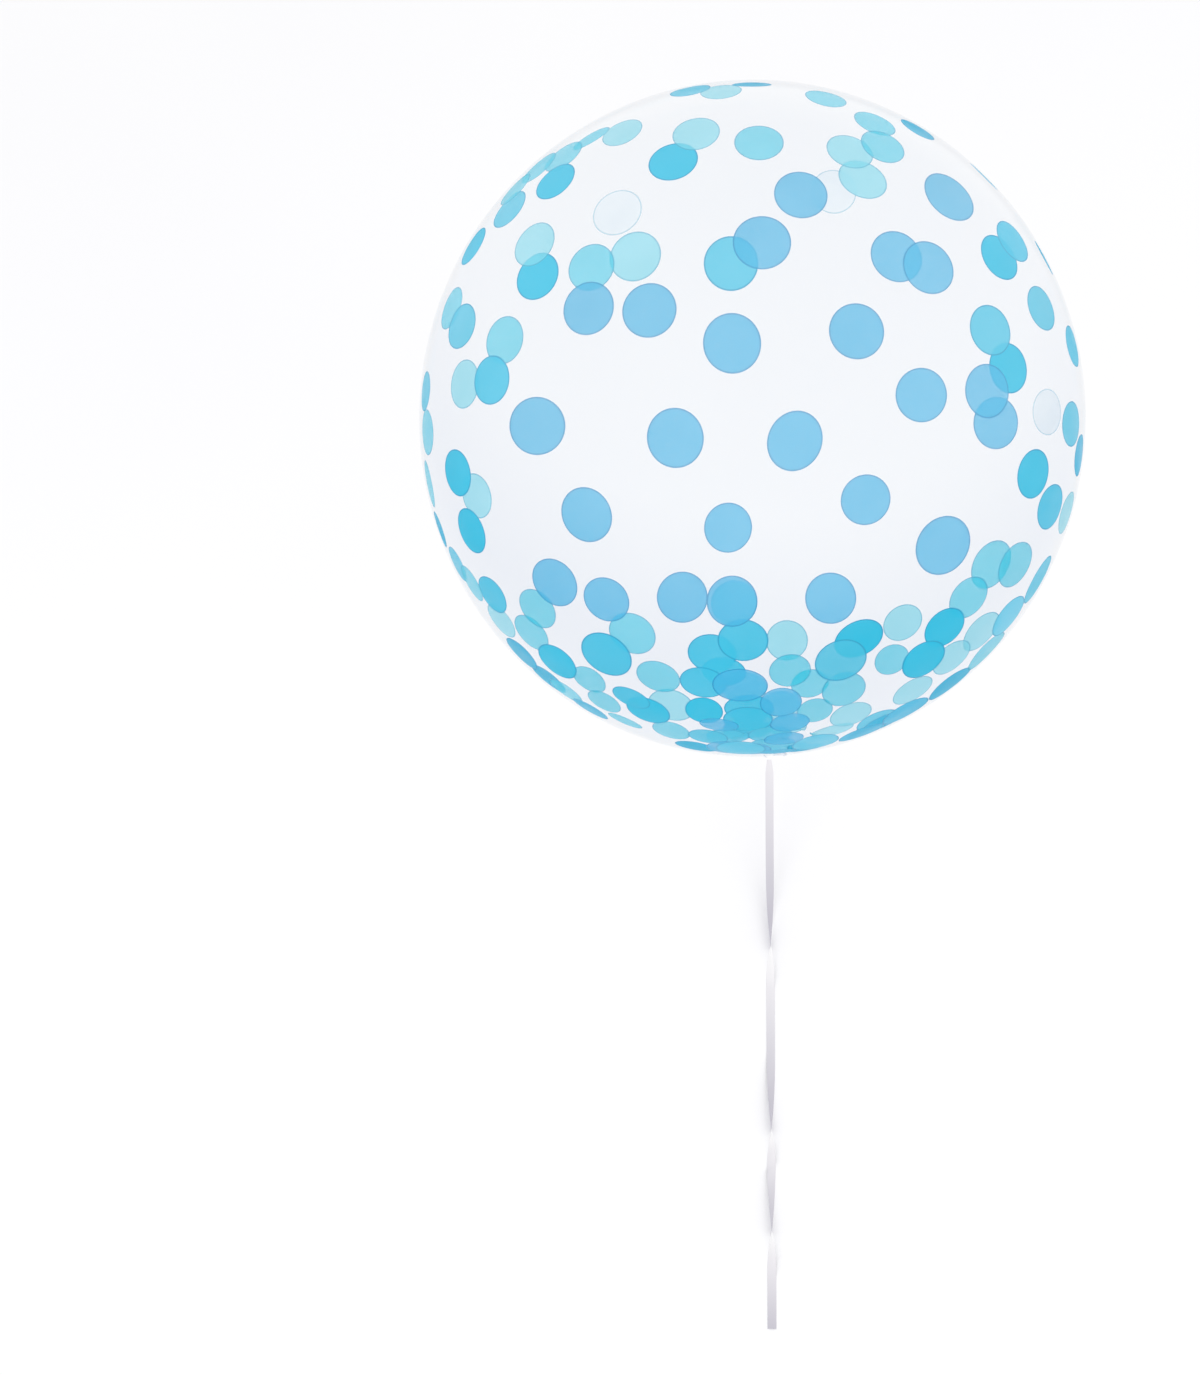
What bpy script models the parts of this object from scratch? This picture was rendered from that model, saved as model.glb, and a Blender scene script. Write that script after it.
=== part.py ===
"""A clear sphere balloon with a satin ribbon, lying on the surface that it rests on.

Metres, +Z up. The origin is under the middle of the bubble, on the small flat spot that it rests on.
The bubble leans, so that its neck and tail point forwards, to -Y, and down. The ribbon leaves its knot
in front of the neck, comes down to the surface in an arc and runs on along it.
"""

from math import acos, ceil, cos, pi, radians, sin, sqrt

import bmesh
import bpy
from mathutils import Matrix, Vector

# Bubble of clear film
BUBBLE_ACROSS = 0.560
BUBBLE_LONG = 0.568
TAIL_LEAN = radians(45)
TAIL_SWING = radians(4.8)
REST_FLAT_RADIUS = 0.034
BUBBLE_SIDES = 64
BUBBLE_RINGS = 44

# Neck, where the film is gathered in pleats and tied, and the short tail that flares out below it
SHOULDER_RADIUS = 0.034
SHOULDER_RINGS = 7
PLEATS = 16
PLEAT_DEPTH = 0.0011
NECK_RADIUS = 0.006
NECK_DROP = 0.002
TAIL_LENGTH = 0.006
TAIL_HALF_WIDTH = 0.0095
TAIL_HALF_THICKNESS = 0.0022
TAIL_PLEAT_SHARE = 0.12
TAIL_RINGS = 5

# Ribbon: wound round the neck, where it bunches, knotted in front, and hanging free from the knot
RIBBON_WIDTH = 0.007
WINDING_WIDTH = 0.004
WINDING_THICKNESS = 0.0018
WINDING_EDGE = 0.0007
KNOT_LENGTH = 0.007
KNOT_RADIUS = 0.0042
KNOT_SINK = 0.0012
KNOT_TURN = radians(30)
KNOT_TOP_DROP = 0.0005
KNOT_SIDES = 24
GAP = 0.0003
RIBBON_POINT_SPACING = 2.5 * RIBBON_WIDTH

# Route of the ribbon's free length, from its knot to its cut end
RIBBON_ROUTE = [
    (0.0191, -0.2141, 0.0793),
    (0.0195, -0.2217, 0.0718),
    (0.0198, -0.2350, 0.0586),
    (0.0201, -0.2550, 0.0420),
    (0.0203, -0.2750, 0.0284),
    (0.0204, -0.2950, 0.0180),
    (0.0203, -0.3150, 0.0106),
    (0.0201, -0.3350, 0.0060),
    (0.0198, -0.3550, 0.0040),
    (0.0192, -0.3850, 0.0038),
    (0.0184, -0.4200, 0.0038),
    (0.0176, -0.4550, 0.0038),
    (0.0168, -0.4900, 0.0038),
    (0.0161, -0.5250, 0.0038),
    (0.0153, -0.5600, 0.0038),
    (0.0145, -0.5950, 0.0038),
    (0.0137, -0.6300, 0.0038),
    (0.0130, -0.6650, 0.0038),
    (0.0122, -0.6995, 0.0038),
]

# Places that follow from the sizes above, along the bubble's own axis, whose -Z points down its tail
HALF_ACROSS = BUBBLE_ACROSS / 2
HALF_LONG = BUBBLE_LONG / 2
LEAN = Matrix.Rotation(-TAIL_LEAN, 4, "X") @ Matrix.Rotation(-TAIL_SWING, 4, "Y")
DOWN = LEAN.inverted().to_3x3() @ Vector((0.0, 0.0, -1.0))
REST_REACH = Vector((HALF_ACROSS * DOWN.x, HALF_ACROSS * DOWN.y, HALF_LONG * DOWN.z)).length
CENTRE_HEIGHT = sqrt(REST_REACH**2 - REST_FLAT_RADIUS**2)
SHOULDER_TOP = -HALF_LONG * sqrt(1 - (SHOULDER_RADIUS / HALF_ACROSS) ** 2)
NECK_TOP = -(HALF_LONG + NECK_DROP)
NECK_BOTTOM = NECK_TOP - WINDING_WIDTH
WINDING_INNER = NECK_RADIUS + GAP
WINDING_OUTER = WINDING_INNER + WINDING_THICKNESS
KNOT_OFFSET = WINDING_OUTER + KNOT_RADIUS - KNOT_SINK
KNOT_TOP = NECK_TOP - KNOT_TOP_DROP


def clear_scene():
    for old in list(bpy.data.objects):
        bpy.data.objects.remove(old)


def material(name, colour, roughness, alpha=1.0):
    made = bpy.data.materials.new(name)
    made.use_nodes = True
    shader = made.node_tree.nodes["Principled BSDF"]
    shader.inputs["Base Color"].default_value = (*colour, 1.0)
    shader.inputs["Roughness"].default_value = roughness
    shader.inputs["Metallic"].default_value = 0.0
    shader.inputs["Alpha"].default_value = alpha
    return made


def ring(bm, height, half_x, half_y, sides, centre=(0.0, 0.0), fold=0.0, ruffle=0.0):
    """A closed ellipse of points at one height. Pleats fold it along the axis and ruffle it across."""
    points = []
    for i in range(sides):
        angle = 2 * pi * i / sides
        wave = cos(PLEATS * angle)
        spread = 1 + ruffle * wave
        x = centre[0] + half_x * spread * cos(angle)
        y = centre[1] + half_y * spread * sin(angle)
        points.append(bm.verts.new((x, y, height + fold * wave)))
    return points


def skin(bm, upper, lower):
    """Quads from one ring to the one below it, facing out."""
    sides = len(upper)
    for i in range(sides):
        bm.faces.new((upper[i], lower[i], lower[(i + 1) % sides], upper[(i + 1) % sides]))


def fan(bm, point, lower):
    """Triangles from a pole to the ring below it."""
    sides = len(lower)
    for i in range(sides):
        bm.faces.new((point, lower[i], lower[(i + 1) % sides]))


def add_object(name, bm, finish, parent=None):
    mesh = bpy.data.meshes.new(name)
    bm.to_mesh(mesh)
    bm.free()
    mesh.materials.append(finish)
    mesh.shade_smooth()
    mesh.set_sharp_from_angle(angle=radians(40))
    made = bpy.data.objects.new(name, mesh)
    made.parent = parent
    bpy.context.scene.collection.objects.link(made)
    return made


def bubble_radius(height):
    """The bubble's radius at a height on its own axis."""
    return HALF_ACROSS * sqrt(max(0.0, 1 - (height / HALF_LONG) ** 2))


def add_bubble_rings(bm):
    """The rings of the round bubble, from under its crown to where the gathered shoulder begins."""
    lowest = acos(SHOULDER_TOP / HALF_LONG)
    rings = []
    for i in range(1, BUBBLE_RINGS + 1):
        height = HALF_LONG * cos(lowest * i / BUBBLE_RINGS)
        radius = bubble_radius(height)
        rings.append(ring(bm, height, radius, radius, BUBBLE_SIDES))
    return rings


def add_shoulder_rings(bm):
    """The rings of the shoulder, drawn in by pleats from the bubble to the neck."""
    rings = []
    for i in range(1, SHOULDER_RINGS + 1):
        share = i / SHOULDER_RINGS
        radius = SHOULDER_RADIUS + (NECK_RADIUS - SHOULDER_RADIUS) * sin(share * pi / 2)
        height = SHOULDER_TOP + (NECK_TOP - SHOULDER_TOP) * share**2
        rings.append(ring(bm, height, radius, radius, BUBBLE_SIDES, fold=PLEAT_DEPTH * sin(share * pi)))
    return rings


def add_tail_rings(bm):
    """The rings of the tail, which opens out below the tie into a flat, ruffled fan."""
    rings = []
    for i in range(1, TAIL_RINGS + 1):
        share = i / TAIL_RINGS
        ease = share * share * (3 - 2 * share)
        half_width = NECK_RADIUS + (TAIL_HALF_WIDTH - NECK_RADIUS) * ease
        half_thickness = NECK_RADIUS + (TAIL_HALF_THICKNESS - NECK_RADIUS) * sin(share * pi / 2)
        height = NECK_BOTTOM - TAIL_LENGTH * share
        ruffle = TAIL_PLEAT_SHARE * share
        rings.append(ring(bm, height, half_width, half_thickness, BUBBLE_SIDES, ruffle=ruffle))
    return rings


def cut_rest_flat(bm):
    """Cuts the small flat spot, level with the surface that the bubble lies on."""
    everything = bm.verts[:] + bm.edges[:] + bm.faces[:]
    cut = bmesh.ops.bisect_plane(
        bm,
        geom=everything,
        dist=1e-7,
        plane_co=DOWN * CENTRE_HEIGHT,
        plane_no=DOWN,
        clear_outer=True,
    )
    rim = [e for e in cut["geom_cut"] if isinstance(e, bmesh.types.BMEdge)]
    bmesh.ops.contextual_create(bm, geom=rim)


def make_film(finish, axis):
    """The bubble, its gathered neck and its tail: one piece of film, solid because it is sealed."""
    bm = bmesh.new()
    crown = bm.verts.new((0.0, 0.0, HALF_LONG))
    rings = add_bubble_rings(bm) + add_shoulder_rings(bm)
    rings.append(ring(bm, NECK_BOTTOM, NECK_RADIUS, NECK_RADIUS, BUBBLE_SIDES))
    rings += add_tail_rings(bm)
    fan(bm, crown, rings[0])
    for upper, lower in zip(rings, rings[1:]):
        skin(bm, upper, lower)
    bm.faces.new(reversed(rings[-1]))
    cut_rest_flat(bm)
    bmesh.ops.recalc_face_normals(bm, faces=bm.faces[:])
    return add_object("balloon_film", bm, finish, axis)


def make_winding(finish, axis):
    """The turns of ribbon round the neck."""
    bm = bmesh.new()
    profile = [
        (WINDING_OUTER - WINDING_EDGE, NECK_TOP),
        (WINDING_OUTER, NECK_TOP - WINDING_EDGE),
        (WINDING_OUTER, NECK_BOTTOM + WINDING_EDGE),
        (WINDING_OUTER - WINDING_EDGE, NECK_BOTTOM),
        (WINDING_INNER, NECK_BOTTOM),
        (WINDING_INNER, NECK_TOP),
    ]
    rings = [ring(bm, height, radius, radius, BUBBLE_SIDES) for radius, height in profile]
    for upper, lower in zip(rings, rings[1:] + rings[:1]):
        skin(bm, upper, lower)
    return add_object("ribbon_knot", bm, finish, axis)


def make_knot_barrel(finish, axis):
    """The knot in front of the turns, a barrel along the tail that the free ribbon leaves at its end."""
    bm = bmesh.new()
    centre = (-KNOT_OFFSET * sin(KNOT_TURN), -KNOT_OFFSET * cos(KNOT_TURN))
    end_radius = RIBBON_WIDTH / 2
    sections = [(0.0, end_radius), (0.25, KNOT_RADIUS), (0.75, KNOT_RADIUS), (1.0, end_radius)]
    rings = [
        ring(bm, KNOT_TOP - KNOT_LENGTH * share, radius, radius, KNOT_SIDES, centre)
        for share, radius in sections
    ]
    bm.faces.new(rings[0])
    for upper, lower in zip(rings, rings[1:]):
        skin(bm, upper, lower)
    bm.faces.new(reversed(rings[-1]))
    barrel = add_object("knot_barrel", bm, finish, axis)
    barrel.hide_render = True
    barrel.display_type = "WIRE"
    return barrel


def make_knot(finish, axis):
    """The turns and the knot joined into one solid."""
    knot = make_winding(finish, axis)
    join = knot.modifiers.new("join_knot", "BOOLEAN")
    join.operation = "UNION"
    join.solver = "EXACT"
    join.object = make_knot_barrel(finish, axis)
    return knot


def smooth_line(points, spacing):
    """Points about spacing apart on the smooth curve through the points given."""
    line = [Vector(p) for p in points]
    padded = [2 * line[0] - line[1], *line, 2 * line[-1] - line[-2]]
    fine = []
    steps = 12
    for a, b, c, d in zip(padded, padded[1:], padded[2:], padded[3:]):
        for i in range(steps):
            t = i / steps
            fine.append(
                0.5
                * (2 * b + (c - a) * t + (2 * a - 5 * b + 4 * c - d) * t**2 + (3 * b - a - 3 * c + d) * t**3)
            )
    fine.append(line[-1])
    lengths = [0.0]
    for a, b in zip(fine, fine[1:]):
        lengths.append(lengths[-1] + (b - a).length)
    count = ceil(lengths[-1] / spacing)
    even = []
    at = 0
    for i in range(count + 1):
        wanted = lengths[-1] * i / count
        while at < len(fine) - 2 and lengths[at + 1] < wanted:
            at += 1
        share = (wanted - lengths[at]) / (lengths[at + 1] - lengths[at])
        even.append(fine[at].lerp(fine[at + 1], share))
    return even


def make_ribbon(finish):
    """The ribbon's free length, as a plain tube as wide as the ribbon."""
    points = smooth_line(RIBBON_ROUTE, RIBBON_POINT_SPACING)
    curve = bpy.data.curves.new("ribbon", "CURVE")
    curve.dimensions = "3D"
    curve.bevel_depth = RIBBON_WIDTH / 2
    curve.bevel_resolution = 3
    curve.use_fill_caps = True
    spline = curve.splines.new("POLY")
    spline.points.add(len(points) - 1)
    for target, point in zip(spline.points, points):
        target.co = (*point, 1.0)
    curve.materials.append(finish)
    made = bpy.data.objects.new("ribbon", curve)
    bpy.context.scene.collection.objects.link(made)
    return made


def main():
    clear_scene()
    clear_film = material("clear_film", (0.90, 0.94, 0.98), 0.06, alpha=0.35)
    satin = material("satin_ribbon", (0.86, 0.85, 0.90), 0.35)
    axis = bpy.data.objects.new("bubble_axis", None)
    axis.matrix_world = Matrix.Translation((0, 0, CENTRE_HEIGHT)) @ LEAN
    bpy.context.scene.collection.objects.link(axis)
    make_film(clear_film, axis)
    make_knot(satin, axis)
    make_ribbon(satin)


main()
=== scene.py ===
"""Looks of the clear sphere balloon: its film, printed dots, tied neck and satin ribbon, on a pale floor.

Metres, +Z up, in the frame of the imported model. Places that are read off the photograph are pixels of its
1200 x 1375 frame, and each is carried onto the balloon along the camera's line of sight.
"""

from math import acos, asin, atan2, ceil, cos, exp, hypot, pi, radians, sin, sqrt

import bmesh
import bpy
from mathutils import Matrix, Vector

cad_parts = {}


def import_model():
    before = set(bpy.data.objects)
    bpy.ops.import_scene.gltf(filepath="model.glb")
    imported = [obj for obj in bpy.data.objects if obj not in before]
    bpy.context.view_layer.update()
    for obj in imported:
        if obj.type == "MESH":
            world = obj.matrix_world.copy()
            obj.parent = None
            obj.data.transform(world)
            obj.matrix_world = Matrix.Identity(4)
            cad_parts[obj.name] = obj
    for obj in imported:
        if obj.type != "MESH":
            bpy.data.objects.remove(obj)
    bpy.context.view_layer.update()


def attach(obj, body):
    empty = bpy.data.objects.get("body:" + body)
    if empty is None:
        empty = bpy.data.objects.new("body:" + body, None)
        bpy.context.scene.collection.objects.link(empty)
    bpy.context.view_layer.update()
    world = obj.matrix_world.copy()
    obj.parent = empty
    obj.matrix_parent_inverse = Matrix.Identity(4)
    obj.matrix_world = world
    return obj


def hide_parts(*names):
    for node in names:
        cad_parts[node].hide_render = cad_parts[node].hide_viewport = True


# Bubble, as the model has it
BUBBLE_ACROSS = 0.560
BUBBLE_LONG = 0.568
TAIL_LEAN = radians(45)
TAIL_SWING = radians(4.8)
REST_FLAT_RADIUS = 0.034
SETTLE_SOFTNESS = 0.0008

# Neck and tail, as the model has them, with finer pleats
SHOULDER_RADIUS = 0.034
PLEATS = 16
PLEAT_DEPTH = 0.0011
PLEAT_REACH = 0.022
PLEAT_START = 0.4
PLEAT_SHARE = 0.7
PLEAT_DRIFT = 0.6
PLEAT_DRIFT_WAVES = 3
FINE_PLEATS = 27
FINE_PLEAT_SHARE = 0.3
FINE_PLEAT_TURN = 1.3
NECK_RADIUS = 0.006
NECK_DROP = 0.002
WINDING_WIDTH = 0.004
TAIL_LENGTH = 0.006
TAIL_HALF_WIDTH = 0.0095
TAIL_HALF_THICKNESS = 0.0022
TAIL_RUFFLE = 0.16
TAIL_UNEVEN = 0.0008
TAIL_WAVES = 3

# Fineness of the film's mesh
FILM_SIDES = 192
BUBBLE_RINGS = 110
SHOULDER_RINGS = 24
TAIL_RINGS = 14

# Turns of ribbon round the neck, and the knot in front of them
WINDING_INNER = 0.0063
WINDING_OUTER = 0.0081
TURNS = 3
TURN_STEPS = 64
TURN_HALF_WIDTH = 0.0010
TURN_HALF_THICKNESS = 0.0009
KNOT_OFFSET = 0.0111
KNOT_LENGTH = 0.007
KNOT_TURN = radians(30)
KNOT_TOP_DROP = 0.0005
KNOT_CORE = (0.0031, 0.0031, 0.0034)
KNOT_CORE_SIDES = 24
KNOT_CORE_RINGS = 16
LOOP_RADIUS = 0.0030
LOOP_HALF_WIDTH = 0.0014
LOOP_HALF_THICKNESS = 0.0008
LOOP_TILT = radians(52)
BAND_SIDES = 20
BAND_FOLDS = 5
BAND_FOLD_DEPTH = 0.16

# Free ribbon
RIBBON_WIDTH = 0.007
RIBBON_THICKNESS = 0.0003
RIBBON_CUP = 0.0004
RIBBON_LENGTH = 0.510
RIBBON_SPACING = 0.002
RIBBON_CLEARANCE = 0.0003
RIBBON_GATHER = 0.55
RIBBON_GATHER_LENGTH = 0.012
RIBBON_ACROSS_POINTS = 9
RIBBON_SHARP_EDGE = radians(50)
CURVE_STEPS = 24
TWISTS = (0.3295, 0.666, 0.841)
FIRST_TWIST = -0.10
NEXT_TWIST = 1.03
TWIST_BEFORE = 0.075
TWIST_AFTER = 0.038
TWIST_EASE = 1.3
RIBBON_ROUTE = [
    (0.0191, -0.2141, 0.0793),
    (0.0195, -0.2217, 0.0718),
    (0.0198, -0.2350, 0.0586),
    (0.0201, -0.2550, 0.0420),
    (0.0203, -0.2750, 0.0284),
    (0.0204, -0.2950, 0.0180),
    (0.0203, -0.3150, 0.0106),
    (0.0201, -0.3350, 0.0060),
    (0.0198, -0.3550, 0.0040),
    (0.0192, -0.3850, 0.0038),
    (0.0184, -0.4200, 0.0038),
    (0.0176, -0.4550, 0.0038),
    (0.0168, -0.4900, 0.0038),
    (0.0161, -0.5250, 0.0038),
    (0.0153, -0.5600, 0.0038),
    (0.0145, -0.5950, 0.0038),
    (0.0137, -0.6300, 0.0038),
    (0.0130, -0.6650, 0.0038),
    (0.0122, -0.6995, 0.0038),
]

# Camera, at the photograph's viewing angle
PHOTO_WIDTH = 1200
PHOTO_HEIGHT = 1375
BUBBLE_PIXEL = (750.8, 421.2)
OUTLINE_PIXEL = (752.4, 418.1)
OUTLINE_HALF_WIDTH = 333.5
OUTLINE_HALF_HEIGHT = 338.9
CAMERA_ELEVATION = radians(60)
CAMERA_DISTANCE = 2.743
LENS = 85
SENSOR = 36

# Printed dots: real size, how far a dot is stretched at most, how deep it lies under the film's face, and
# which wall of the bubble it is on
DOT_ACROSS = 0.0447
DOT_STRETCH = 1.35
DOT_SMALLEST = 0.72
DOT_LARGEST = 1.12
SURE_LEAN = 0.4
DOT_SIDES = 48
DOT_RINGS = (0.3, 0.6, 0.9, 0.935, 0.95, 1.0)
DOT_EDGE_START = 0.945
DOT_INSET = 0.00015
DOT_INSET_STEP = 0.00003
LAYERS_PER_GROUP = 3
LEAST_FACING = 0.05
NEAR = False
FAR = True
NECK_CLEARANCE = 0.009
SMALLEST_RADIUS = 1e-6

# Dots of the photograph by wall and tone, each as the pixels of its middle, its width and its height
NEAR_DOTS = [
    (732, 343, 58, 60), (857, 331, 56, 54), (795, 441, 56, 60), (675, 438, 57, 60), (536, 426, 56, 58),
    (922, 395, 51, 54), (866, 500, 49, 51), (728, 528, 48, 50), (944, 546, 55, 58), (831, 599, 51, 51),
    (586, 515, 51, 55), (554, 583, 46, 47), (606, 600, 45, 45), (682, 598, 51, 51), (732, 602, 51, 51),
    (588, 308, 49, 54), (649, 310, 54, 54), (762, 242, 58, 52), (801, 194, 53, 45), (950, 196, 49, 46),
    (897, 256, 51, 50), (929, 267, 51, 51), (988, 391, 43, 54), (997, 423, 44, 52), (740, 686, 56, 32),
    (781, 703, 42, 28), (790, 723, 36, 24), (784, 739, 40, 12), (719, 725, 34, 18),
]
CYAN_DOTS = [
    (673, 161, 49, 36), (555, 181, 38, 35), (473, 246, 25, 37), (537, 276, 41, 47), (1000, 257, 36, 44),
    (1009, 368, 37, 50), (1034, 474, 31, 49), (457, 473, 26, 47), (471, 531, 28, 45), (945, 628, 40, 39),
    (924, 660, 42, 38), (859, 639, 49, 38), (704, 711, 38, 28), (648, 711, 44, 26), (557, 662, 37, 36),
]
TURQUOISE_DOTS = [
    (712, 654, 49, 38), (743, 641, 51, 41), (606, 655, 51, 43), (492, 595, 28, 37), (491, 380, 35, 49),
    (703, 683, 47, 30), (724, 672, 44, 28), (749, 709, 50, 26), (748, 720, 50, 24), (748, 731, 50, 24),
    (631, 698, 38, 22), (1013, 241, 31, 40), (1073, 346, 15, 41), (1051, 507, 25, 45),
]
SKY_DOTS = [
    (509, 209, 32, 36), (731, 263, 55, 53), (1042, 308, 28, 44), (991, 330, 40, 50), (461, 326, 27, 45),
    (841, 661, 52, 41), (690, 90, 40, 12), (1072, 424, 19, 45), (708, 737, 40, 14), (728, 738, 44, 16),
    (770, 738, 44, 16),
]
AQUA_DOTS = [
    (826, 98, 41, 17), (875, 123, 41, 23), (883, 146, 43, 31), (759, 142, 49, 33),
    (591, 138, 36, 20), (563, 156, 38, 28), (591, 267, 47, 45), (451, 308, 21, 42), (504, 340, 37, 48),
    (992, 565, 40, 48), (1016, 565, 34, 45), (969, 598, 39, 41), (892, 660, 37, 38), (790, 671, 42, 32),
    (658, 677, 44, 31), (531, 633, 34, 36), (537, 609, 36, 40), (844, 690, 44, 34), (815, 711, 36, 28),
    (589, 680, 34, 28), (604, 702, 32, 24), (671, 731, 38, 20), (632, 634, 47, 41), (625, 721, 32, 18),
    (810, 684, 38, 28),
]
PALE_DOTS = [
    (721, 91, 41, 15), (622, 132, 40, 28), (635, 256, 50, 50), (464, 384, 28, 49), (476, 496, 30, 45),
    (501, 621, 28, 34), (903, 623, 40, 35), (982, 632, 36, 39), (1067, 513, 20, 42), (671, 706, 46, 32),
    (913, 691, 40, 28), (952, 658, 36, 36), (863, 179, 48, 37), (787, 641, 42, 40), (851, 715, 42, 24),
    (832, 731, 44, 14), (850, 151, 46, 32), (744, 688, 46, 30), (780, 706, 42, 28), (786, 728, 42, 22),
    (734, 604, 46, 45),
]
PALE_FRONT_DOTS = [(696, 133, 47, 31), (534, 244, 40, 43)]
SILVER_DOTS = [(617, 212, 47, 46), (834, 191, 45, 43), (1048, 412, 28, 46)]

# Dots along the balloon's outline, each as its angle round from the right (degrees, clockwise), how far its
# middle lies inside the outline, its length along it and its thickness (pixels)
RIM_CYAN_DOTS = [
    (53.4, 5.0, 52, 7), (62.4, 6.2, 52, 11), (66.8, 6.2, 46, 11), (70.9, 4.6, 48, 7), (80.9, 4.4, 40, 6),
    (85.8, 4.2, 38, 6), (99.8, 5.0, 42, 8), (119.1, 4.2, 40, 6), (128.0, 5.4, 44, 7), (134.4, 6.0, 43, 10),
    (160.4, 2.2, 38, 4), (269.9, 5.0, 36, 6), (299.8, 4.6, 38, 8), (313.8, 1.2, 30, 2), (331.2, 1.6, 34, 3),
    (366.5, 4.0, 42, 8),
]
RIM_SKY_DOTS = [
    (29.5, 6.0, 54, 9), (37.7, 11.0, 48, 17), (67.6, 10.5, 44, 15), (79.0, 7.5, 48, 12), (86.5, 8.5, 46, 12),
    (92.0, 7.5, 50, 12), (153.7, 5.2, 38, 8), (184.7, 5.0, 40, 8),
]
RIM_BLUE_DOTS = [(90.5, 7.0, 44, 12), (94.2, 7.5, 44, 12)]
RIM_AQUA_DOTS = [
    (44.9, 5.0, 52, 8), (124.3, 6.0, 40, 9), (149.5, 9.0, 41, 10), (168.5, 3.6, 48, 5), (177.5, 7.5, 46, 11),
    (224.0, 6.0, 42, 9), (229.5, 7.0, 44, 11),
]

# Tones of the dots as they show on white, and how much each hides
NEAR_TONE = ("#7DC5E7", "#77C1E4", 0.84)
CYAN_TONE = ("#30C5E6", "#28C1E2", 0.98)
TURQUOISE_TONE = ("#54C9E8", "#4CC5E4", 0.95)
SKY_TONE = ("#6CCDE8", "#64C9E4", 0.92)
AQUA_TONE = ("#8AD9EC", "#84D5E8", 0.76)
PALE_TONE = ("#AAE3F0", "#A4DFEC", 0.74)
SILVER_TONE = ("#F0F6FA", "#E8F0F6", 0.50)
RIM_CYAN_TONE = ("#1EB8DE", "#18B2D8", 0.98)
EDGE_TINT = (0.36, 0.67, 0.78)
INK_ROUGHNESS = (0.3, 0.45)
INK_SPECULAR = 0.1

# Film: how much one layer hides, and its linear colour at the crown, lower down where it is painted darker
# as shade, and along its outline
FILM_COVER = 0.10
FILM_CLEAR = (0.84, 0.92, 0.95)
FILM_VEIL_AND_SHADE = (0.09, 0.25, 0.49)
FILM_RIM = (0.0, 0.12, 0.25)

# Film: the heights between which it turns darker and cooler as painted shade, how far it faces away where it
# takes none and all of its outline's colour, and its gloss
FILM_SHADE_HEIGHTS = (0.46, 0.34)
FILM_RIM_FACING = (0.78, 0.85)
FACING_BLEND = 0.5
FILM_ROUGHNESS = (0.03, 0.09)
FILM_SPECULAR = 0.3
FILM_RIPPLE_STRENGTH = 0.15
FILM_RIPPLE_DEPTH = 0.001

# Satin along a stretch between two twists, painted with the light and shade a twisting strip catches: a
# painted highlight where it begins, a little further on, and painted shade where it ends
SATIN_PAINTED_HIGHLIGHT = "#FFFFFF"
SATIN_PAINTED_HALF_SHADE = "#E9E7EB"
SATIN_PAINTED_SHADE = "#B9B6C2"
SATIN_HALF_SHADE_FROM = 0.22
SATIN_ROUGHNESS = (0.28, 0.4)
SATIN_SPECULAR = 0.3
SATIN_SHEEN = 0.1
SATIN_SHEEN_ROUGHNESS = 0.3

# Floor
FLOOR_HALF_SIZE = 6.0
FLOOR_TONES = ("#FBFBFC", "#F9F9FB")
FLOOR_ROUGHNESS = 0.9
FLOOR_SPECULAR = 0.1

# Noises, each as its scale and its detail, and the part of their range that is used
FILM_GLOSS_NOISE = (9.0, 3.0)
FILM_RIPPLE_NOISE = (18.0, 4.0)
INK_CLOUD_NOISE = (14.0, 2.0)
INK_GLOSS_NOISE = (40.0, 2.0)
WEAVE_NOISE = (900.0, 1.0)
FLOOR_NOISE = (1.5, 2.0)
NOISE_RANGE = (0.3, 0.7)
CLOUD_RANGE = (0.35, 0.65)

# Places that follow from the sizes above. The bubble's own -Z points down its tail.
HALF_ACROSS = BUBBLE_ACROSS / 2
HALF_LONG = BUBBLE_LONG / 2
LEAN = Matrix.Rotation(-TAIL_LEAN, 4, "X") @ Matrix.Rotation(-TAIL_SWING, 4, "Y")
DOWN = LEAN.inverted().to_3x3() @ Vector((0.0, 0.0, -1.0))
REST_REACH = Vector((HALF_ACROSS * DOWN.x, HALF_ACROSS * DOWN.y, HALF_LONG * DOWN.z)).length
CENTRE = Vector((0.0, 0.0, sqrt(REST_REACH**2 - REST_FLAT_RADIUS**2)))
AXIS = Matrix.Translation(CENTRE) @ LEAN
SHOULDER_TOP = -HALF_LONG * sqrt(1 - (SHOULDER_RADIUS / HALF_ACROSS) ** 2)
NECK_TOP = -(HALF_LONG + NECK_DROP)
NECK_BOTTOM = NECK_TOP - WINDING_WIDTH
KNOT_TOP = NECK_TOP - KNOT_TOP_DROP

FOCAL_PIXELS = LENS / SENSOR * PHOTO_HEIGHT
CAMERA_RIGHT = Vector((1.0, 0.0, 0.0))
CAMERA_UP = Vector((0.0, sin(CAMERA_ELEVATION), cos(CAMERA_ELEVATION)))
CAMERA_BACK = Vector((0.0, -cos(CAMERA_ELEVATION), sin(CAMERA_ELEVATION)))
BUBBLE_ASIDE = (BUBBLE_PIXEL[0] - PHOTO_WIDTH / 2) * CAMERA_DISTANCE / FOCAL_PIXELS
BUBBLE_ABOVE = (PHOTO_HEIGHT / 2 - BUBBLE_PIXEL[1]) * CAMERA_DISTANCE / FOCAL_PIXELS
CAMERA_PLACE = (
    CENTRE + CAMERA_BACK * CAMERA_DISTANCE - CAMERA_RIGHT * BUBBLE_ASIDE - CAMERA_UP * BUBBLE_ABOVE
)

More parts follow.
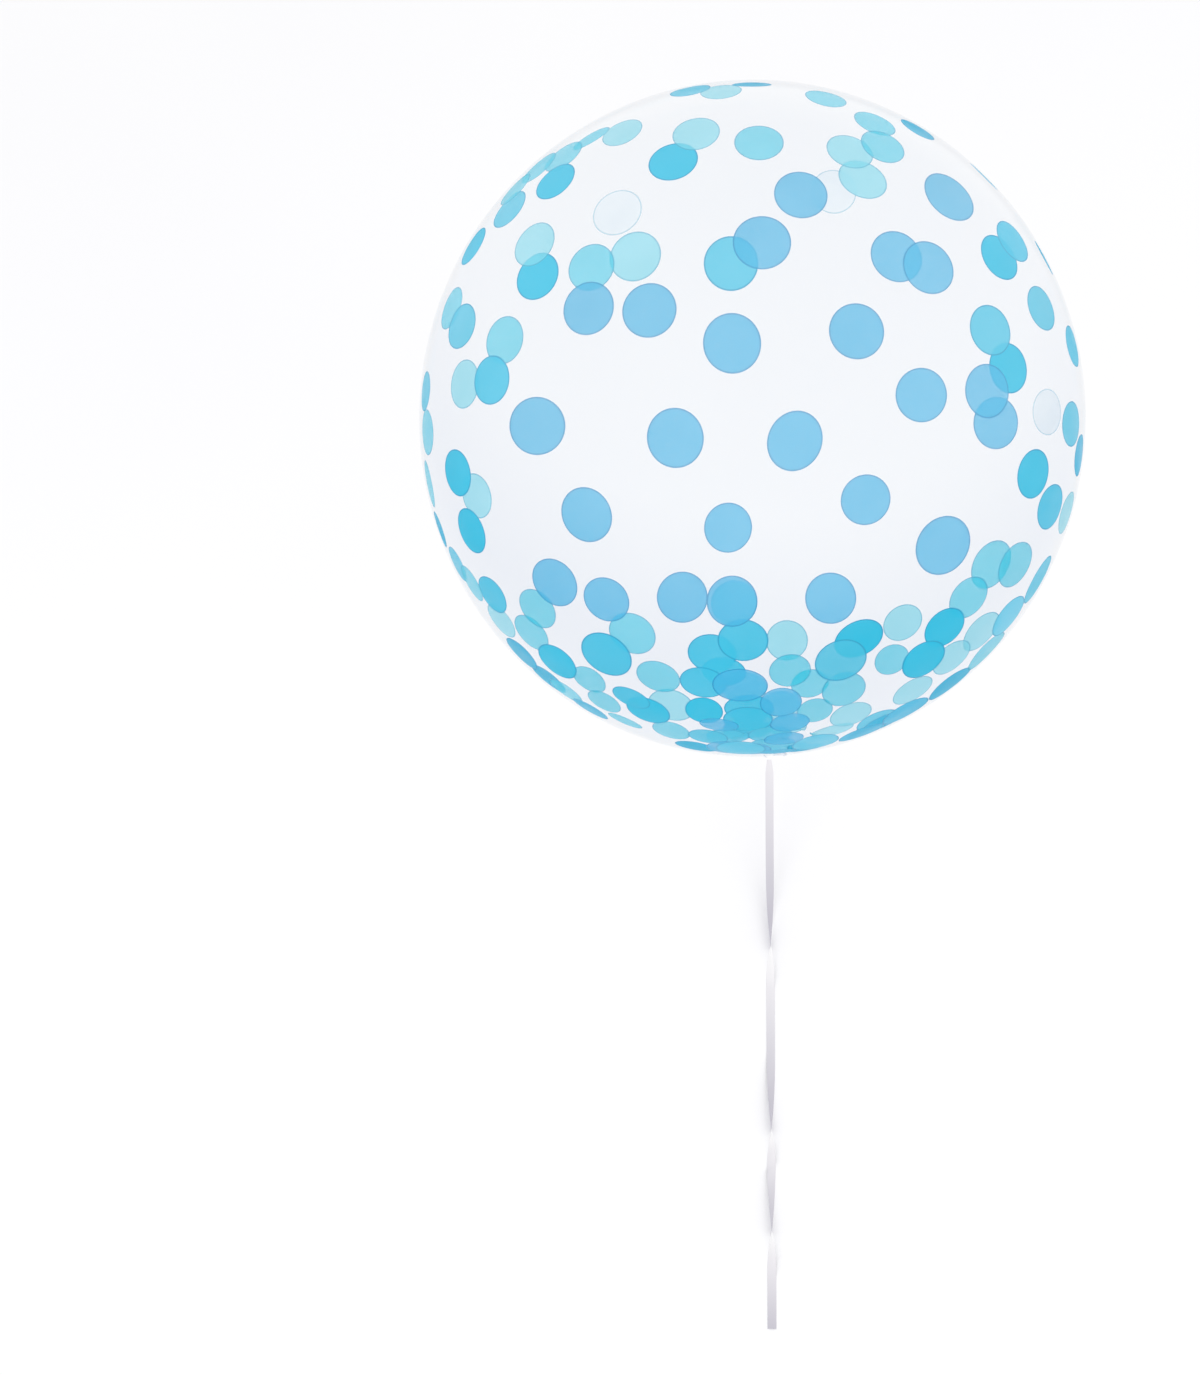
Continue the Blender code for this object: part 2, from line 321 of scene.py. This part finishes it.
# Lamps, each as its name, its place, what it points at and its power, and the white surround
LAMP_ACROSS = 2.0
LAMPS = (
    ("key", (-1.6, -1.2, 2.6), CENTRE, 8),
    ("fill", (1.8, 0.6, 2.2), CENTRE, 5),
    ("front", (0.6, -2.4, 1.3), (0.0, -0.2, 0.0), 5),
)
SURROUND_COLOUR = (1.0, 1.0, 1.0, 1.0)
SURROUND_STRENGTH = 0.93
SEE_THROUGH_LAYERS = 48


def linear(colour):
    """An sRGB colour written as #RRGGBB, in the linear values that a shader takes."""
    parts = [int(colour[i : i + 2], 16) / 255 for i in (1, 3, 5)]
    return Vector([c / 12.92 if c <= 0.04045 else ((c + 0.055) / 1.055) ** 2.4 for c in parts])


def ink(colour, cover):
    """The colour a see-through layer needs, so that on white it shows as the one given."""
    return Vector([max(0.0, (c - (1 - cover)) / cover) for c in linear(colour)])


def new_material(name):
    """A new material, with its nodes, its links and its shader."""
    made = bpy.data.materials.new(name)
    made.use_nodes = True
    return made, made.node_tree.nodes, made.node_tree.links, made.node_tree.nodes["Principled BSDF"]


def add_noise(nodes, noise):
    """A noise of a scale and a detail, in the object's own frame."""
    scale, detail = noise
    place = nodes.new("ShaderNodeTexCoord")
    pattern = nodes.new("ShaderNodeTexNoise")
    pattern.inputs["Scale"].default_value = scale
    pattern.inputs["Detail"].default_value = detail
    nodes.id_data.links.new(place.outputs["Object"], pattern.inputs["Vector"])
    return pattern.outputs["Fac"]


def add_ramp(nodes, value, source, result=(0.0, 1.0)):
    """The value carried from one range to another."""
    ramp = nodes.new("ShaderNodeMapRange")
    ramp.inputs["From Min"].default_value = source[0]
    ramp.inputs["From Max"].default_value = source[1]
    ramp.inputs["To Min"].default_value = result[0]
    ramp.inputs["To Max"].default_value = result[1]
    nodes.id_data.links.new(value, ramp.inputs["Value"])
    return ramp.outputs["Result"]


def add_blend(nodes, share, first, last):
    """A colour between two, by share."""
    blend = nodes.new("ShaderNodeMix")
    blend.data_type = "RGBA"
    blend.inputs["A"].default_value = (*first, 1.0)
    blend.inputs["B"].default_value = (*last, 1.0)
    nodes.id_data.links.new(share, blend.inputs["Factor"])
    return blend.outputs["Result"]


def film_material():
    """Clear stretched film, painted darker and cooler below its crown as shade, cooler along its outline,
    and a little uneven in gloss.
    """
    made, nodes, links, shader = new_material("clear_film")
    place = nodes.new("ShaderNodeTexCoord")
    parts = nodes.new("ShaderNodeSeparateXYZ")
    links.new(place.outputs["Object"], parts.inputs["Vector"])
    # Painted shade: the film darkens and cools from its crown downwards
    painted_shade_below = add_ramp(nodes, parts.outputs["Z"], FILM_SHADE_HEIGHTS)
    facing = nodes.new("ShaderNodeLayerWeight")
    facing.inputs["Blend"].default_value = FACING_BLEND
    rim = add_ramp(nodes, facing.outputs["Facing"], FILM_RIM_FACING)
    body = add_blend(nodes, painted_shade_below, FILM_CLEAR, FILM_VEIL_AND_SHADE)
    toned = nodes.new("ShaderNodeMix")
    toned.data_type = "RGBA"
    toned.inputs["B"].default_value = (*FILM_RIM, 1.0)
    links.new(rim, toned.inputs["Factor"])
    links.new(body, toned.inputs["A"])
    links.new(toned.outputs["Result"], shader.inputs["Base Color"])
    gloss = add_ramp(nodes, add_noise(nodes, FILM_GLOSS_NOISE), NOISE_RANGE, FILM_ROUGHNESS)
    links.new(gloss, shader.inputs["Roughness"])
    ripple = nodes.new("ShaderNodeBump")
    ripple.inputs["Strength"].default_value = FILM_RIPPLE_STRENGTH
    ripple.inputs["Distance"].default_value = FILM_RIPPLE_DEPTH
    links.new(add_noise(nodes, FILM_RIPPLE_NOISE), ripple.inputs["Height"])
    links.new(ripple.outputs["Normal"], shader.inputs["Normal"])
    shader.inputs["Specular IOR Level"].default_value = FILM_SPECULAR
    shader.inputs["Alpha"].default_value = FILM_COVER
    return made


def dot_material(name, tone):
    """Printed ink: a little uneven in colour, and darker in a thin line at its edge."""
    colour, deeper, cover = tone
    made, nodes, links, shader = new_material(name)
    cloud = add_ramp(nodes, add_noise(nodes, INK_CLOUD_NOISE), CLOUD_RANGE)
    body = add_blend(nodes, cloud, ink(colour, cover), ink(deeper, cover))
    edge = nodes.new("ShaderNodeAttribute")
    edge.attribute_name = "edge"
    darker = nodes.new("ShaderNodeMix")
    darker.data_type = "RGBA"
    darker.blend_type = "MULTIPLY"
    darker.inputs["B"].default_value = (*EDGE_TINT, 1.0)
    links.new(edge.outputs["Fac"], darker.inputs["Factor"])
    links.new(body, darker.inputs["A"])
    links.new(darker.outputs["Result"], shader.inputs["Base Color"])
    gloss = add_ramp(nodes, add_noise(nodes, INK_GLOSS_NOISE), NOISE_RANGE, INK_ROUGHNESS)
    links.new(gloss, shader.inputs["Roughness"])
    shader.inputs["Specular IOR Level"].default_value = INK_SPECULAR
    shader.inputs["Alpha"].default_value = cover
    return made


def satin_material():
    """Satin ribbon: painted white as a highlight where a stretch begins and lavender-grey as shade where it
    turns away, with a fine weave.
    """
    made, nodes, links, shader = new_material("satin_ribbon")
    twist_shade = nodes.new("ShaderNodeAttribute")
    twist_shade.attribute_name = "twist_shade"
    # Painted highlight fading to painted shade along each stretch between two twists
    painted_shade_ramp = nodes.new("ShaderNodeValToRGB")
    painted_shade_ramp.color_ramp.elements[0].color = (*linear(SATIN_PAINTED_HIGHLIGHT), 1.0)
    painted_shade_ramp.color_ramp.elements[1].color = (*linear(SATIN_PAINTED_SHADE), 1.0)
    painted_shade_ramp.color_ramp.elements.new(SATIN_HALF_SHADE_FROM).color = (*linear(SATIN_PAINTED_HALF_SHADE), 1.0)
    links.new(twist_shade.outputs["Fac"], painted_shade_ramp.inputs["Fac"])
    links.new(painted_shade_ramp.outputs["Color"], shader.inputs["Base Color"])
    weave = add_ramp(nodes, add_noise(nodes, WEAVE_NOISE), NOISE_RANGE, SATIN_ROUGHNESS)
    links.new(weave, shader.inputs["Roughness"])
    shader.inputs["Specular IOR Level"].default_value = SATIN_SPECULAR
    shader.inputs["Sheen Weight"].default_value = SATIN_SHEEN
    shader.inputs["Sheen Roughness"].default_value = SATIN_SHEEN_ROUGHNESS
    return made


def floor_material():
    """Plain pale floor."""
    made, nodes, links, shader = new_material("pale_floor")
    cloud = add_ramp(nodes, add_noise(nodes, FLOOR_NOISE), NOISE_RANGE)
    lighter, darker = FLOOR_TONES
    links.new(add_blend(nodes, cloud, linear(lighter), linear(darker)), shader.inputs["Base Color"])
    shader.inputs["Roughness"].default_value = FLOOR_ROUGHNESS
    shader.inputs["Specular IOR Level"].default_value = FLOOR_SPECULAR
    return made


def add_mesh(name, bm, finish):
    """A smooth object of a mesh, with its material."""
    mesh = bpy.data.meshes.new(name)
    bm.to_mesh(mesh)
    bm.free()
    mesh.materials.append(finish)
    mesh.shade_smooth()
    made = bpy.data.objects.new(name, mesh)
    bpy.context.scene.collection.objects.link(made)
    return made


def add_quads(bm, upper, lower, closed=True):
    """Quads between two rows of points."""
    count = len(upper)
    for i in range(count if closed else count - 1):
        j = (i + 1) % count
        bm.faces.new((upper[i], lower[i], lower[j], upper[j]))


def settled(point):
    """Where a point of the film comes to lie: pressed flat with a soft edge where the floor stops it."""
    height = (point.z + sqrt(point.z**2 + SETTLE_SOFTNESS**2)) / 2
    return Vector((point.x, point.y, height))


def pleat_wave(angle):
    """Pleats round the neck, uneven as gathered film is, from -1 to 1."""
    coarse = cos(PLEATS * angle + PLEAT_DRIFT * sin(PLEAT_DRIFT_WAVES * angle))
    fine = cos(FINE_PLEATS * angle + FINE_PLEAT_TURN)
    return PLEAT_SHARE * coarse + FINE_PLEAT_SHARE * fine


def pleated_ring(angles, radius, height, depth):
    """A row of the film, raised by its pleats."""
    return [(radius * cos(a), radius * sin(a), height + depth * (1 + pleat_wave(a))) for a in angles]


def film_rings():
    """Rows of the film from under its crown to the end of its tail, in the bubble's own frame."""
    angles = [2 * pi * i / FILM_SIDES for i in range(FILM_SIDES)]
    lowest = acos(SHOULDER_TOP / HALF_LONG)
    rings = []
    for i in range(1, BUBBLE_RINGS + 1):
        height = HALF_LONG * cos(lowest * i / BUBBLE_RINGS)
        radius = HALF_ACROSS * sqrt(1 - (height / HALF_LONG) ** 2)
        near_neck = exp(-(radius - SHOULDER_RADIUS) / PLEAT_REACH) if height < 0 else 0.0
        depth = PLEAT_START * PLEAT_DEPTH * near_neck
        rings.append(pleated_ring(angles, radius, height, depth))
    for i in range(1, SHOULDER_RINGS + 1):
        share = i / SHOULDER_RINGS
        radius = SHOULDER_RADIUS + (NECK_RADIUS - SHOULDER_RADIUS) * sin(share * pi / 2)
        height = SHOULDER_TOP + (NECK_TOP - SHOULDER_TOP) * share**2
        depth = PLEAT_DEPTH * (PLEAT_START + (1 - PLEAT_START) * sin(share * pi)) * (1 - share**4)
        rings.append(pleated_ring(angles, radius, height, depth))
    rings.append([(NECK_RADIUS * cos(a), NECK_RADIUS * sin(a), NECK_BOTTOM) for a in angles])
    for i in range(1, TAIL_RINGS + 1):
        share = i / TAIL_RINGS
        ease = share * share * (3 - 2 * share)
        half_width = NECK_RADIUS + (TAIL_HALF_WIDTH - NECK_RADIUS) * ease
        half_thickness = NECK_RADIUS + (TAIL_HALF_THICKNESS - NECK_RADIUS) * sin(share * pi / 2)
        row = []
        for a in angles:
            spread = 1 + TAIL_RUFFLE * share * pleat_wave(a)
            rise = TAIL_UNEVEN * share * (1 + sin(TAIL_WAVES * a))
            height = NECK_BOTTOM - TAIL_LENGTH * share + rise
            row.append((half_width * spread * cos(a), half_thickness * spread * sin(a), height))
        rings.append(row)
    return rings


def lets_light_through(piece):
    """Thin see-through film and ink throw no shadow and no colour on what lies behind."""
    piece.visible_shadow = False
    piece.visible_diffuse = False


def make_film(finish):
    """The whole film, one closed skin from crown to neck that stays open at the tail's end."""
    bm = bmesh.new()
    crown = bm.verts.new(AXIS @ Vector((0.0, 0.0, HALF_LONG)))
    rows = [[bm.verts.new(settled(AXIS @ Vector(p))) for p in ring] for ring in film_rings()]
    for i in range(FILM_SIDES):
        bm.faces.new((crown, rows[0][i], rows[0][(i + 1) % FILM_SIDES]))
    for upper, lower in zip(rows, rows[1:]):
        add_quads(bm, upper, lower)
    film = add_mesh("film_bubble", bm, finish)
    lets_light_through(film)
    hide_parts("balloon_film")
    return film


def wall_point(direction, inset):
    """The point a little way inside the film in a direction from the bubble's middle, in its own frame."""
    across = hypot(direction.x, direction.y)
    reach = 1 / sqrt((across / HALF_ACROSS) ** 2 + (direction.z / HALF_LONG) ** 2)
    point = direction * (reach - inset)
    radius = hypot(point.x, point.y)
    if point.z > 0 or radius > SHOULDER_RADIUS:
        return point
    kept = max(radius, NECK_CLEARANCE)
    share = asin((SHOULDER_RADIUS - kept) / (SHOULDER_RADIUS - NECK_RADIUS)) * 2 / pi
    height = SHOULDER_TOP + (NECK_TOP - SHOULDER_TOP) * share**2 + 2 * PLEAT_DEPTH + inset
    out = kept / max(radius, SMALLEST_RADIUS)
    return Vector((point.x * out, point.y * out, max(point.z, height)))


def sight_line(x, y):
    """The camera's place and its way through a pixel of the photograph, in the bubble's own frame."""
    aside = CAMERA_RIGHT * (x - PHOTO_WIDTH / 2)
    down = CAMERA_UP * (y - PHOTO_HEIGHT / 2)
    ahead = aside - down - CAMERA_BACK * FOCAL_PIXELS
    return AXIS.inverted() @ CAMERA_PLACE, AXIS.inverted().to_3x3() @ ahead.normalized()


def wall_hit(x, y, far, inset):
    """Where the line of sight through a pixel meets a wall, inset a little, its way, and how far that is."""
    start, ahead = sight_line(x, y)
    shrink = Vector((1 / (HALF_ACROSS - inset), 1 / (HALF_ACROSS - inset), 1 / (HALF_LONG - inset)))
    eye = start * shrink
    step = ahead * shrink
    half_b = eye.dot(step)
    root = max(0.0, half_b**2 - step.length_squared * (eye.length_squared - 1))
    distance = (-half_b + (sqrt(root) if far else -sqrt(root))) / step.length_squared
    return start + ahead * distance, ahead, distance


def rim_dot(angle, depth, length, thickness):
    """A dot read along the outline, as the pixels of its middle, its width and its height."""
    turn = radians(angle)
    reach = 1 / hypot(cos(turn) / OUTLINE_HALF_WIDTH, sin(turn) / OUTLINE_HALF_HEIGHT) - depth
    return (
        OUTLINE_PIXEL[0] + reach * cos(turn),
        OUTLINE_PIXEL[1] + reach * sin(turn),
        hypot(length * sin(turn), thickness * cos(turn)),
        hypot(length * cos(turn), thickness * sin(turn)),
    )


def dot_halves(dot, facing, pixel):
    """Half a dot's length along the outline and half its length across that, both on the film, in metres."""
    x, y, width, height = dot
    tilt = atan2(y - OUTLINE_PIXEL[1], x - OUTLINE_PIXEL[0])
    lean = cos(2 * tilt)
    half_width_2 = (width / 2 * pixel) ** 2
    half_height_2 = (height / 2 * pixel) ** 2
    nominal = DOT_ACROSS / 2
    if abs(lean) > SURE_LEAN:
        measured = (half_height_2 * cos(tilt) ** 2 - half_width_2 * sin(tilt) ** 2) / lean
    else:
        # On a diagonal both lengths show alike, so how they compare comes from how far the film turns away
        roundness = facing * (3 - facing) / 2
        measured = (half_width_2 + half_height_2) / (1 + roundness**2)
    half_along = min(DOT_LARGEST, max(DOT_SMALLEST, sqrt(max(0.0, measured)) / nominal)) * nominal
    across = sqrt(max(0.0, half_width_2 + half_height_2 - half_along**2)) / facing
    return half_along, min(DOT_STRETCH, max(DOT_SMALLEST, across / half_along)) * half_along


def add_dot(bm, edge, dot, far, inset):
    """One printed dot, laid along the film so that it covers the pixels given."""
    middle, ahead, distance = wall_hit(dot[0], dot[1], far, inset)
    outward = middle.normalized()
    facing = max(LEAST_FACING, abs(outward.dot(ahead)))
    radial = (ahead - outward * outward.dot(ahead)).normalized()
    along = outward.cross(radial)
    half_along, half_radial = dot_halves(dot, facing, distance / FOCAL_PIXELS)
    reach = middle.length
    centre = bm.verts.new(settled(AXIS @ wall_point(outward, inset)))
    rows = []
    for share in DOT_RINGS:
        row = []
        for i in range(DOT_SIDES):
            angle = 2 * pi * i / DOT_SIDES
            offset = share * (along * (half_along * cos(angle)) + radial * (half_radial * sin(angle)))
            turn = offset.length / reach
            direction = outward * cos(turn) + offset.normalized() * sin(turn)
            point = bm.verts.new(settled(AXIS @ wall_point(direction, inset)))
            point[edge] = 1.0 if share > DOT_EDGE_START else 0.0
            row.append(point)
        rows.append(row)
    for i in range(DOT_SIDES):
        bm.faces.new((centre, rows[0][i], rows[0][(i + 1) % DOT_SIDES]))
    for inner, outer in zip(rows, rows[1:]):
        add_quads(bm, inner, outer)


def make_dots(name, dots, far, finish, group, alternate=False):
    """All dots of one group. A higher group lies further inside, and an alternate one uses both walls."""
    bm = bmesh.new()
    edge = bm.verts.layers.float.new("edge")
    for i, dot in enumerate(dots):
        on_far = far != (alternate and i % 2 == 1)
        layer = group * LAYERS_PER_GROUP + i % LAYERS_PER_GROUP
        add_dot(bm, edge, dot, on_far, DOT_INSET + DOT_INSET_STEP * layer)
    dots_piece = add_mesh(name, bm, finish)
    lets_light_through(dots_piece)
    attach(dots_piece, "root")


def curve_point(a, b, c, d, t):
    """A point at a share t of the smooth curve from b to c, with a before them and d after them."""
    square = (2 * a - 5 * b + 4 * c - d) * t**2
    cube = (3 * b - a - 3 * c + d) * t**3
    return 0.5 * (2 * b + (c - a) * t + square + cube)


def smooth_line(points, spacing):
    """Points about spacing apart on the smooth curve through the points given."""
    line = [Vector(p) for p in points]
    padded = [2 * line[0] - line[1], *line, 2 * line[-1] - line[-2]]
    fine = []
    for a, b, c, d in zip(padded, padded[1:], padded[2:], padded[3:]):
        for i in range(CURVE_STEPS):
            fine.append(curve_point(a, b, c, d, i / CURVE_STEPS))
    fine.append(line[-1])
    lengths = [0.0]
    for a, b in zip(fine, fine[1:]):
        lengths.append(lengths[-1] + (b - a).length)
    count = ceil(lengths[-1] / spacing)
    even = []
    at = 0
    for i in range(count + 1):
        wanted = lengths[-1] * i / count
        while at < len(fine) - 2 and lengths[at + 1] < wanted:
            at += 1
        share = (wanted - lengths[at]) / (lengths[at + 1] - lengths[at])
        even.append(fine[at].lerp(fine[at + 1], share))
    return even


def twist_at(share):
    """How far the ribbon has rolled at a share of its length: slowly up to a twist, and fast after it."""
    roll = 0.0
    for twist in TWISTS:
        past = (share - twist) * RIBBON_LENGTH
        if past < 0:
            roll += pi / 2 * max(0.0, 1 + past / TWIST_BEFORE) ** TWIST_EASE
        else:
            roll += pi - pi / 2 * max(0.0, 1 - past / TWIST_AFTER) ** TWIST_EASE
    return roll


def stretch_share(share):
    """How far along its stretch between two twists a place on the ribbon is, from 0 to 1."""
    ends = (FIRST_TWIST, *TWISTS, NEXT_TWIST)
    for start, end in zip(ends, ends[1:]):
        if share <= end:
            break
    return (share - start) / (end - start)


def ribbon_centres():
    """The middle line of the free ribbon. On the floor it lies as low as its roll lets it."""
    centres = []
    line = smooth_line(RIBBON_ROUTE, RIBBON_SPACING)
    for i, point in enumerate(line):
        roll = twist_at(i / (len(line) - 1))
        drop = RIBBON_WIDTH / 2 * (1 - abs(sin(roll)))
        lowest = abs(sin(roll)) * RIBBON_WIDTH / 2 + RIBBON_CLEARANCE
        centres.append(Vector((point.x, point.y, max(point.z - drop, lowest))))
    return centres


def make_ribbon(finish):
    """The free length of ribbon: a thin satin strip with half a turn at each twist."""
    bm = bmesh.new()
    twist_shade = bm.verts.layers.float.new("twist_shade")
    centres = ribbon_centres()
    last = len(centres) - 1
    rows = []
    for i, centre in enumerate(centres):
        tangent = (centres[min(i + 1, last)] - centres[max(i - 1, 0)]).normalized()
        aside = tangent.cross(Vector((0.0, 0.0, 1.0))).normalized()
        above = aside.cross(tangent)
        roll = twist_at(i / last)
        across = aside * cos(roll) + above * sin(roll)
        face = above * cos(roll) - aside * sin(roll)
        gather = min(1.0, i * RIBBON_SPACING / RIBBON_GATHER_LENGTH)
        width = RIBBON_WIDTH * (RIBBON_GATHER + (1 - RIBBON_GATHER) * gather)
        row = []
        for side in (1, -1):
            for j in range(RIBBON_ACROSS_POINTS):
                place = side * (2 * j / (RIBBON_ACROSS_POINTS - 1) - 1)
                bulge = RIBBON_CUP * (1 - place**2) * cos(roll) - side * RIBBON_THICKNESS / 2
                point = bm.verts.new(centre + across * (place * width / 2) + face * bulge)
                # Share along the stretch, which sets the satin's painted highlight and shade
                point[twist_shade] = stretch_share(i / last)
                row.append(point)
        rows.append(row)
    for upper, lower in zip(rows, rows[1:]):
        add_quads(bm, upper, lower)
    bm.faces.new(rows[0])
    bm.faces.new(reversed(rows[-1]))
    bmesh.ops.recalc_face_normals(bm, faces=bm.faces[:])
    ribbon = add_mesh("ribbon_strip", bm, finish)
    ribbon.data.set_sharp_from_angle(angle=RIBBON_SHARP_EDGE)
    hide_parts("ribbon")
    return ribbon


def add_band(bm, places, half_width, half_thickness, closed):
    """A soft band through places of (middle, across, outward), bunched into small folds along it."""
    rows = []
    for middle, across, outward in places:
        row = []
        for j in range(BAND_SIDES):
            angle = 2 * pi * j / BAND_SIDES
            fold = 1 + BAND_FOLD_DEPTH * cos(BAND_FOLDS * angle)
            aside = across * (half_width * cos(angle) * fold)
            out = outward * (half_thickness * sin(angle) * fold)
            row.append(bm.verts.new(AXIS @ (middle + (aside + out))))
        rows.append(row)
    for upper, lower in zip(rows, rows[1:]):
        add_quads(bm, upper, lower)
    if closed:
        add_quads(bm, rows[-1], rows[0])
    else:
        bm.faces.new(reversed(rows[0]))
        bm.faces.new(rows[-1])


def winding_places():
    """Where the turns of ribbon run round the neck, from its top to its bottom."""
    radius = (WINDING_INNER + WINDING_OUTER) / 2
    rise = WINDING_WIDTH - 2 * TURN_HALF_WIDTH
    places = []
    for i in range(TURNS * TURN_STEPS + 1):
        angle = 2 * pi * i / TURN_STEPS
        outward = Vector((cos(angle), sin(angle), 0.0))
        height = NECK_TOP - TURN_HALF_WIDTH - rise * i / (TURNS * TURN_STEPS)
        places.append((outward * radius + Vector((0.0, 0.0, height)), Vector((0.0, 0.0, 1.0)), outward))
    return places


def loop_places(centre, axis, start):
    """Where one loop of the knot runs, round an axis through its centre."""
    places = []
    for i in range(TURN_STEPS):
        outward = Matrix.Rotation(2 * pi * i / TURN_STEPS, 3, axis) @ start
        places.append((centre + outward * LOOP_RADIUS, axis, outward))
    return places


def add_core(bm, centre):
    """The rounded middle of the knot."""
    shape = AXIS @ Matrix.Translation(centre) @ Matrix.Diagonal((*KNOT_CORE, 1.0))
    top = bm.verts.new(shape @ Vector((0.0, 0.0, 1.0)))
    bottom = bm.verts.new(shape @ Vector((0.0, 0.0, -1.0)))
    rows = []
    for i in range(1, KNOT_CORE_RINGS):
        tilt = pi * i / KNOT_CORE_RINGS
        row = []
        for j in range(KNOT_CORE_SIDES):
            turn = 2 * pi * j / KNOT_CORE_SIDES
            place = Vector((sin(tilt) * cos(turn), sin(tilt) * sin(turn), cos(tilt)))
            row.append(bm.verts.new(shape @ place))
        rows.append(row)
    for upper, lower in zip(rows, rows[1:]):
        add_quads(bm, upper, lower)
    for j in range(KNOT_CORE_SIDES):
        k = (j + 1) % KNOT_CORE_SIDES
        bm.faces.new((top, rows[0][j], rows[0][k]))
        bm.faces.new((bottom, rows[-1][k], rows[-1][j]))


def make_knot(finish):
    """The turns round the neck and the small knot in front of them, all of the same bunched ribbon."""
    bm = bmesh.new()
    forward = Vector((-sin(KNOT_TURN), -cos(KNOT_TURN), 0.0))
    down = Vector((0.0, 0.0, -1.0))
    aside = forward.cross(down)
    centre = forward * KNOT_OFFSET + Vector((0.0, 0.0, KNOT_TOP - KNOT_LENGTH / 2))
    add_band(bm, winding_places(), TURN_HALF_WIDTH, TURN_HALF_THICKNESS, closed=False)
    add_band(bm, loop_places(centre, down, forward), LOOP_HALF_WIDTH, LOOP_HALF_THICKNESS, closed=True)
    tilted = Matrix.Rotation(LOOP_TILT, 3, forward) @ aside
    add_band(bm, loop_places(centre, tilted, forward), LOOP_HALF_WIDTH, LOOP_HALF_THICKNESS, closed=True)
    add_core(bm, centre)
    bmesh.ops.recalc_face_normals(bm, faces=bm.faces[:])
    knot = add_mesh("ribbon_turns", bm, finish)
    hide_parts("ribbon_knot")
    return knot


def make_floor(finish):
    """The plain floor that the balloon lies on."""
    bm = bmesh.new()
    bmesh.ops.create_grid(bm, x_segments=2, y_segments=2, size=FLOOR_HALF_SIZE)
    add_mesh("floor", bm, finish)


def add_lamp(name, place, target, power):
    """A large soft lamp that points at its target."""
    lamp = bpy.data.lights.new(name, "AREA")
    lamp.shape = "DISK"
    lamp.size = LAMP_ACROSS
    lamp.energy = power
    made = bpy.data.objects.new(name, lamp)
    made.location = place
    made.rotation_mode = "QUATERNION"
    made.rotation_quaternion = (Vector(target) - Vector(place)).to_track_quat("-Z", "Y")
    bpy.context.scene.collection.objects.link(made)


def light_scene():
    """Plain soft studio light: a white surround and three large soft lamps."""
    scene = bpy.context.scene
    world = bpy.data.worlds.new("soft_white")
    world.use_nodes = True
    surround = world.node_tree.nodes["Background"]
    surround.inputs["Color"].default_value = SURROUND_COLOUR
    surround.inputs["Strength"].default_value = SURROUND_STRENGTH
    scene.world = world
    for lamp in LAMPS:
        add_lamp(*lamp)
    scene.view_settings.view_transform = "Standard"
    scene.cycles.transparent_max_bounces = SEE_THROUGH_LAYERS


def add_camera():
    """The camera at the photograph's angle, framed as the photograph is."""
    data = bpy.data.cameras.new("camera")
    data.lens = LENS
    data.sensor_width = SENSOR
    made = bpy.data.objects.new("camera", data)
    made.location = CAMERA_PLACE
    made.rotation_mode = "QUATERNION"
    made.rotation_quaternion = Matrix((CAMERA_RIGHT, CAMERA_UP, CAMERA_BACK)).transposed().to_quaternion()
    bpy.context.scene.collection.objects.link(made)
    bpy.context.scene.camera = made


def add_all_dots():
    """Every printed dot, group by group from the film's face inwards."""
    pale = dot_material("ink_pale", PALE_TONE)
    make_dots("dots_near", NEAR_DOTS, NEAR, dot_material("ink_near", NEAR_TONE), 0)
    make_dots("dots_silver", SILVER_DOTS, FAR, dot_material("ink_silver", SILVER_TONE), 1)
    make_dots("dots_pale", PALE_DOTS, FAR, pale, 2)
    make_dots("dots_aqua", AQUA_DOTS, FAR, dot_material("ink_aqua", AQUA_TONE), 3)
    make_dots("dots_cyan", CYAN_DOTS, FAR, dot_material("ink_cyan", CYAN_TONE), 4)
    make_dots("dots_turquoise", TURQUOISE_DOTS, FAR, dot_material("ink_turquoise", TURQUOISE_TONE), 5)
    make_dots("dots_sky", SKY_DOTS, FAR, dot_material("ink_sky", SKY_TONE), 6)
    make_dots("dots_pale_front", PALE_FRONT_DOTS, FAR, pale, 7)
    rim_sky = [rim_dot(*dot) for dot in RIM_SKY_DOTS]
    rim_cyan = [rim_dot(*dot) for dot in RIM_CYAN_DOTS]
    rim_blue = [rim_dot(*dot) for dot in RIM_BLUE_DOTS]
    rim_aqua = [rim_dot(*dot) for dot in RIM_AQUA_DOTS]
    rim_sky_ink = dot_material("ink_rim_sky", SKY_TONE)
    rim_cyan_ink = dot_material("ink_rim_cyan", RIM_CYAN_TONE)
    rim_blue_ink = dot_material("ink_rim_blue", NEAR_TONE)
    rim_aqua_ink = dot_material("ink_rim_aqua", AQUA_TONE)
    make_dots("dots_rim_sky", rim_sky, FAR, rim_sky_ink, 8, alternate=True)
    make_dots("dots_rim_cyan", rim_cyan, FAR, rim_cyan_ink, 9, alternate=True)
    make_dots("dots_rim_blue", rim_blue, NEAR, rim_blue_ink, 10)
    make_dots("dots_rim_aqua", rim_aqua, FAR, rim_aqua_ink, 11, alternate=True)


def main():
    """Loads the model, dresses it, and sets the floor, the light and the camera."""
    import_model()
    add_camera()
    satin = satin_material()
    ribbon = make_ribbon(satin)
    knot = make_knot(satin)
    film = make_film(film_material())
    for piece, slot in ((ribbon, "satin_ribbon"), (knot, "satin_ribbon"), (film, "clear_film")):
        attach(piece, "root")
    add_all_dots()
    make_floor(floor_material())
    light_scene()


main()
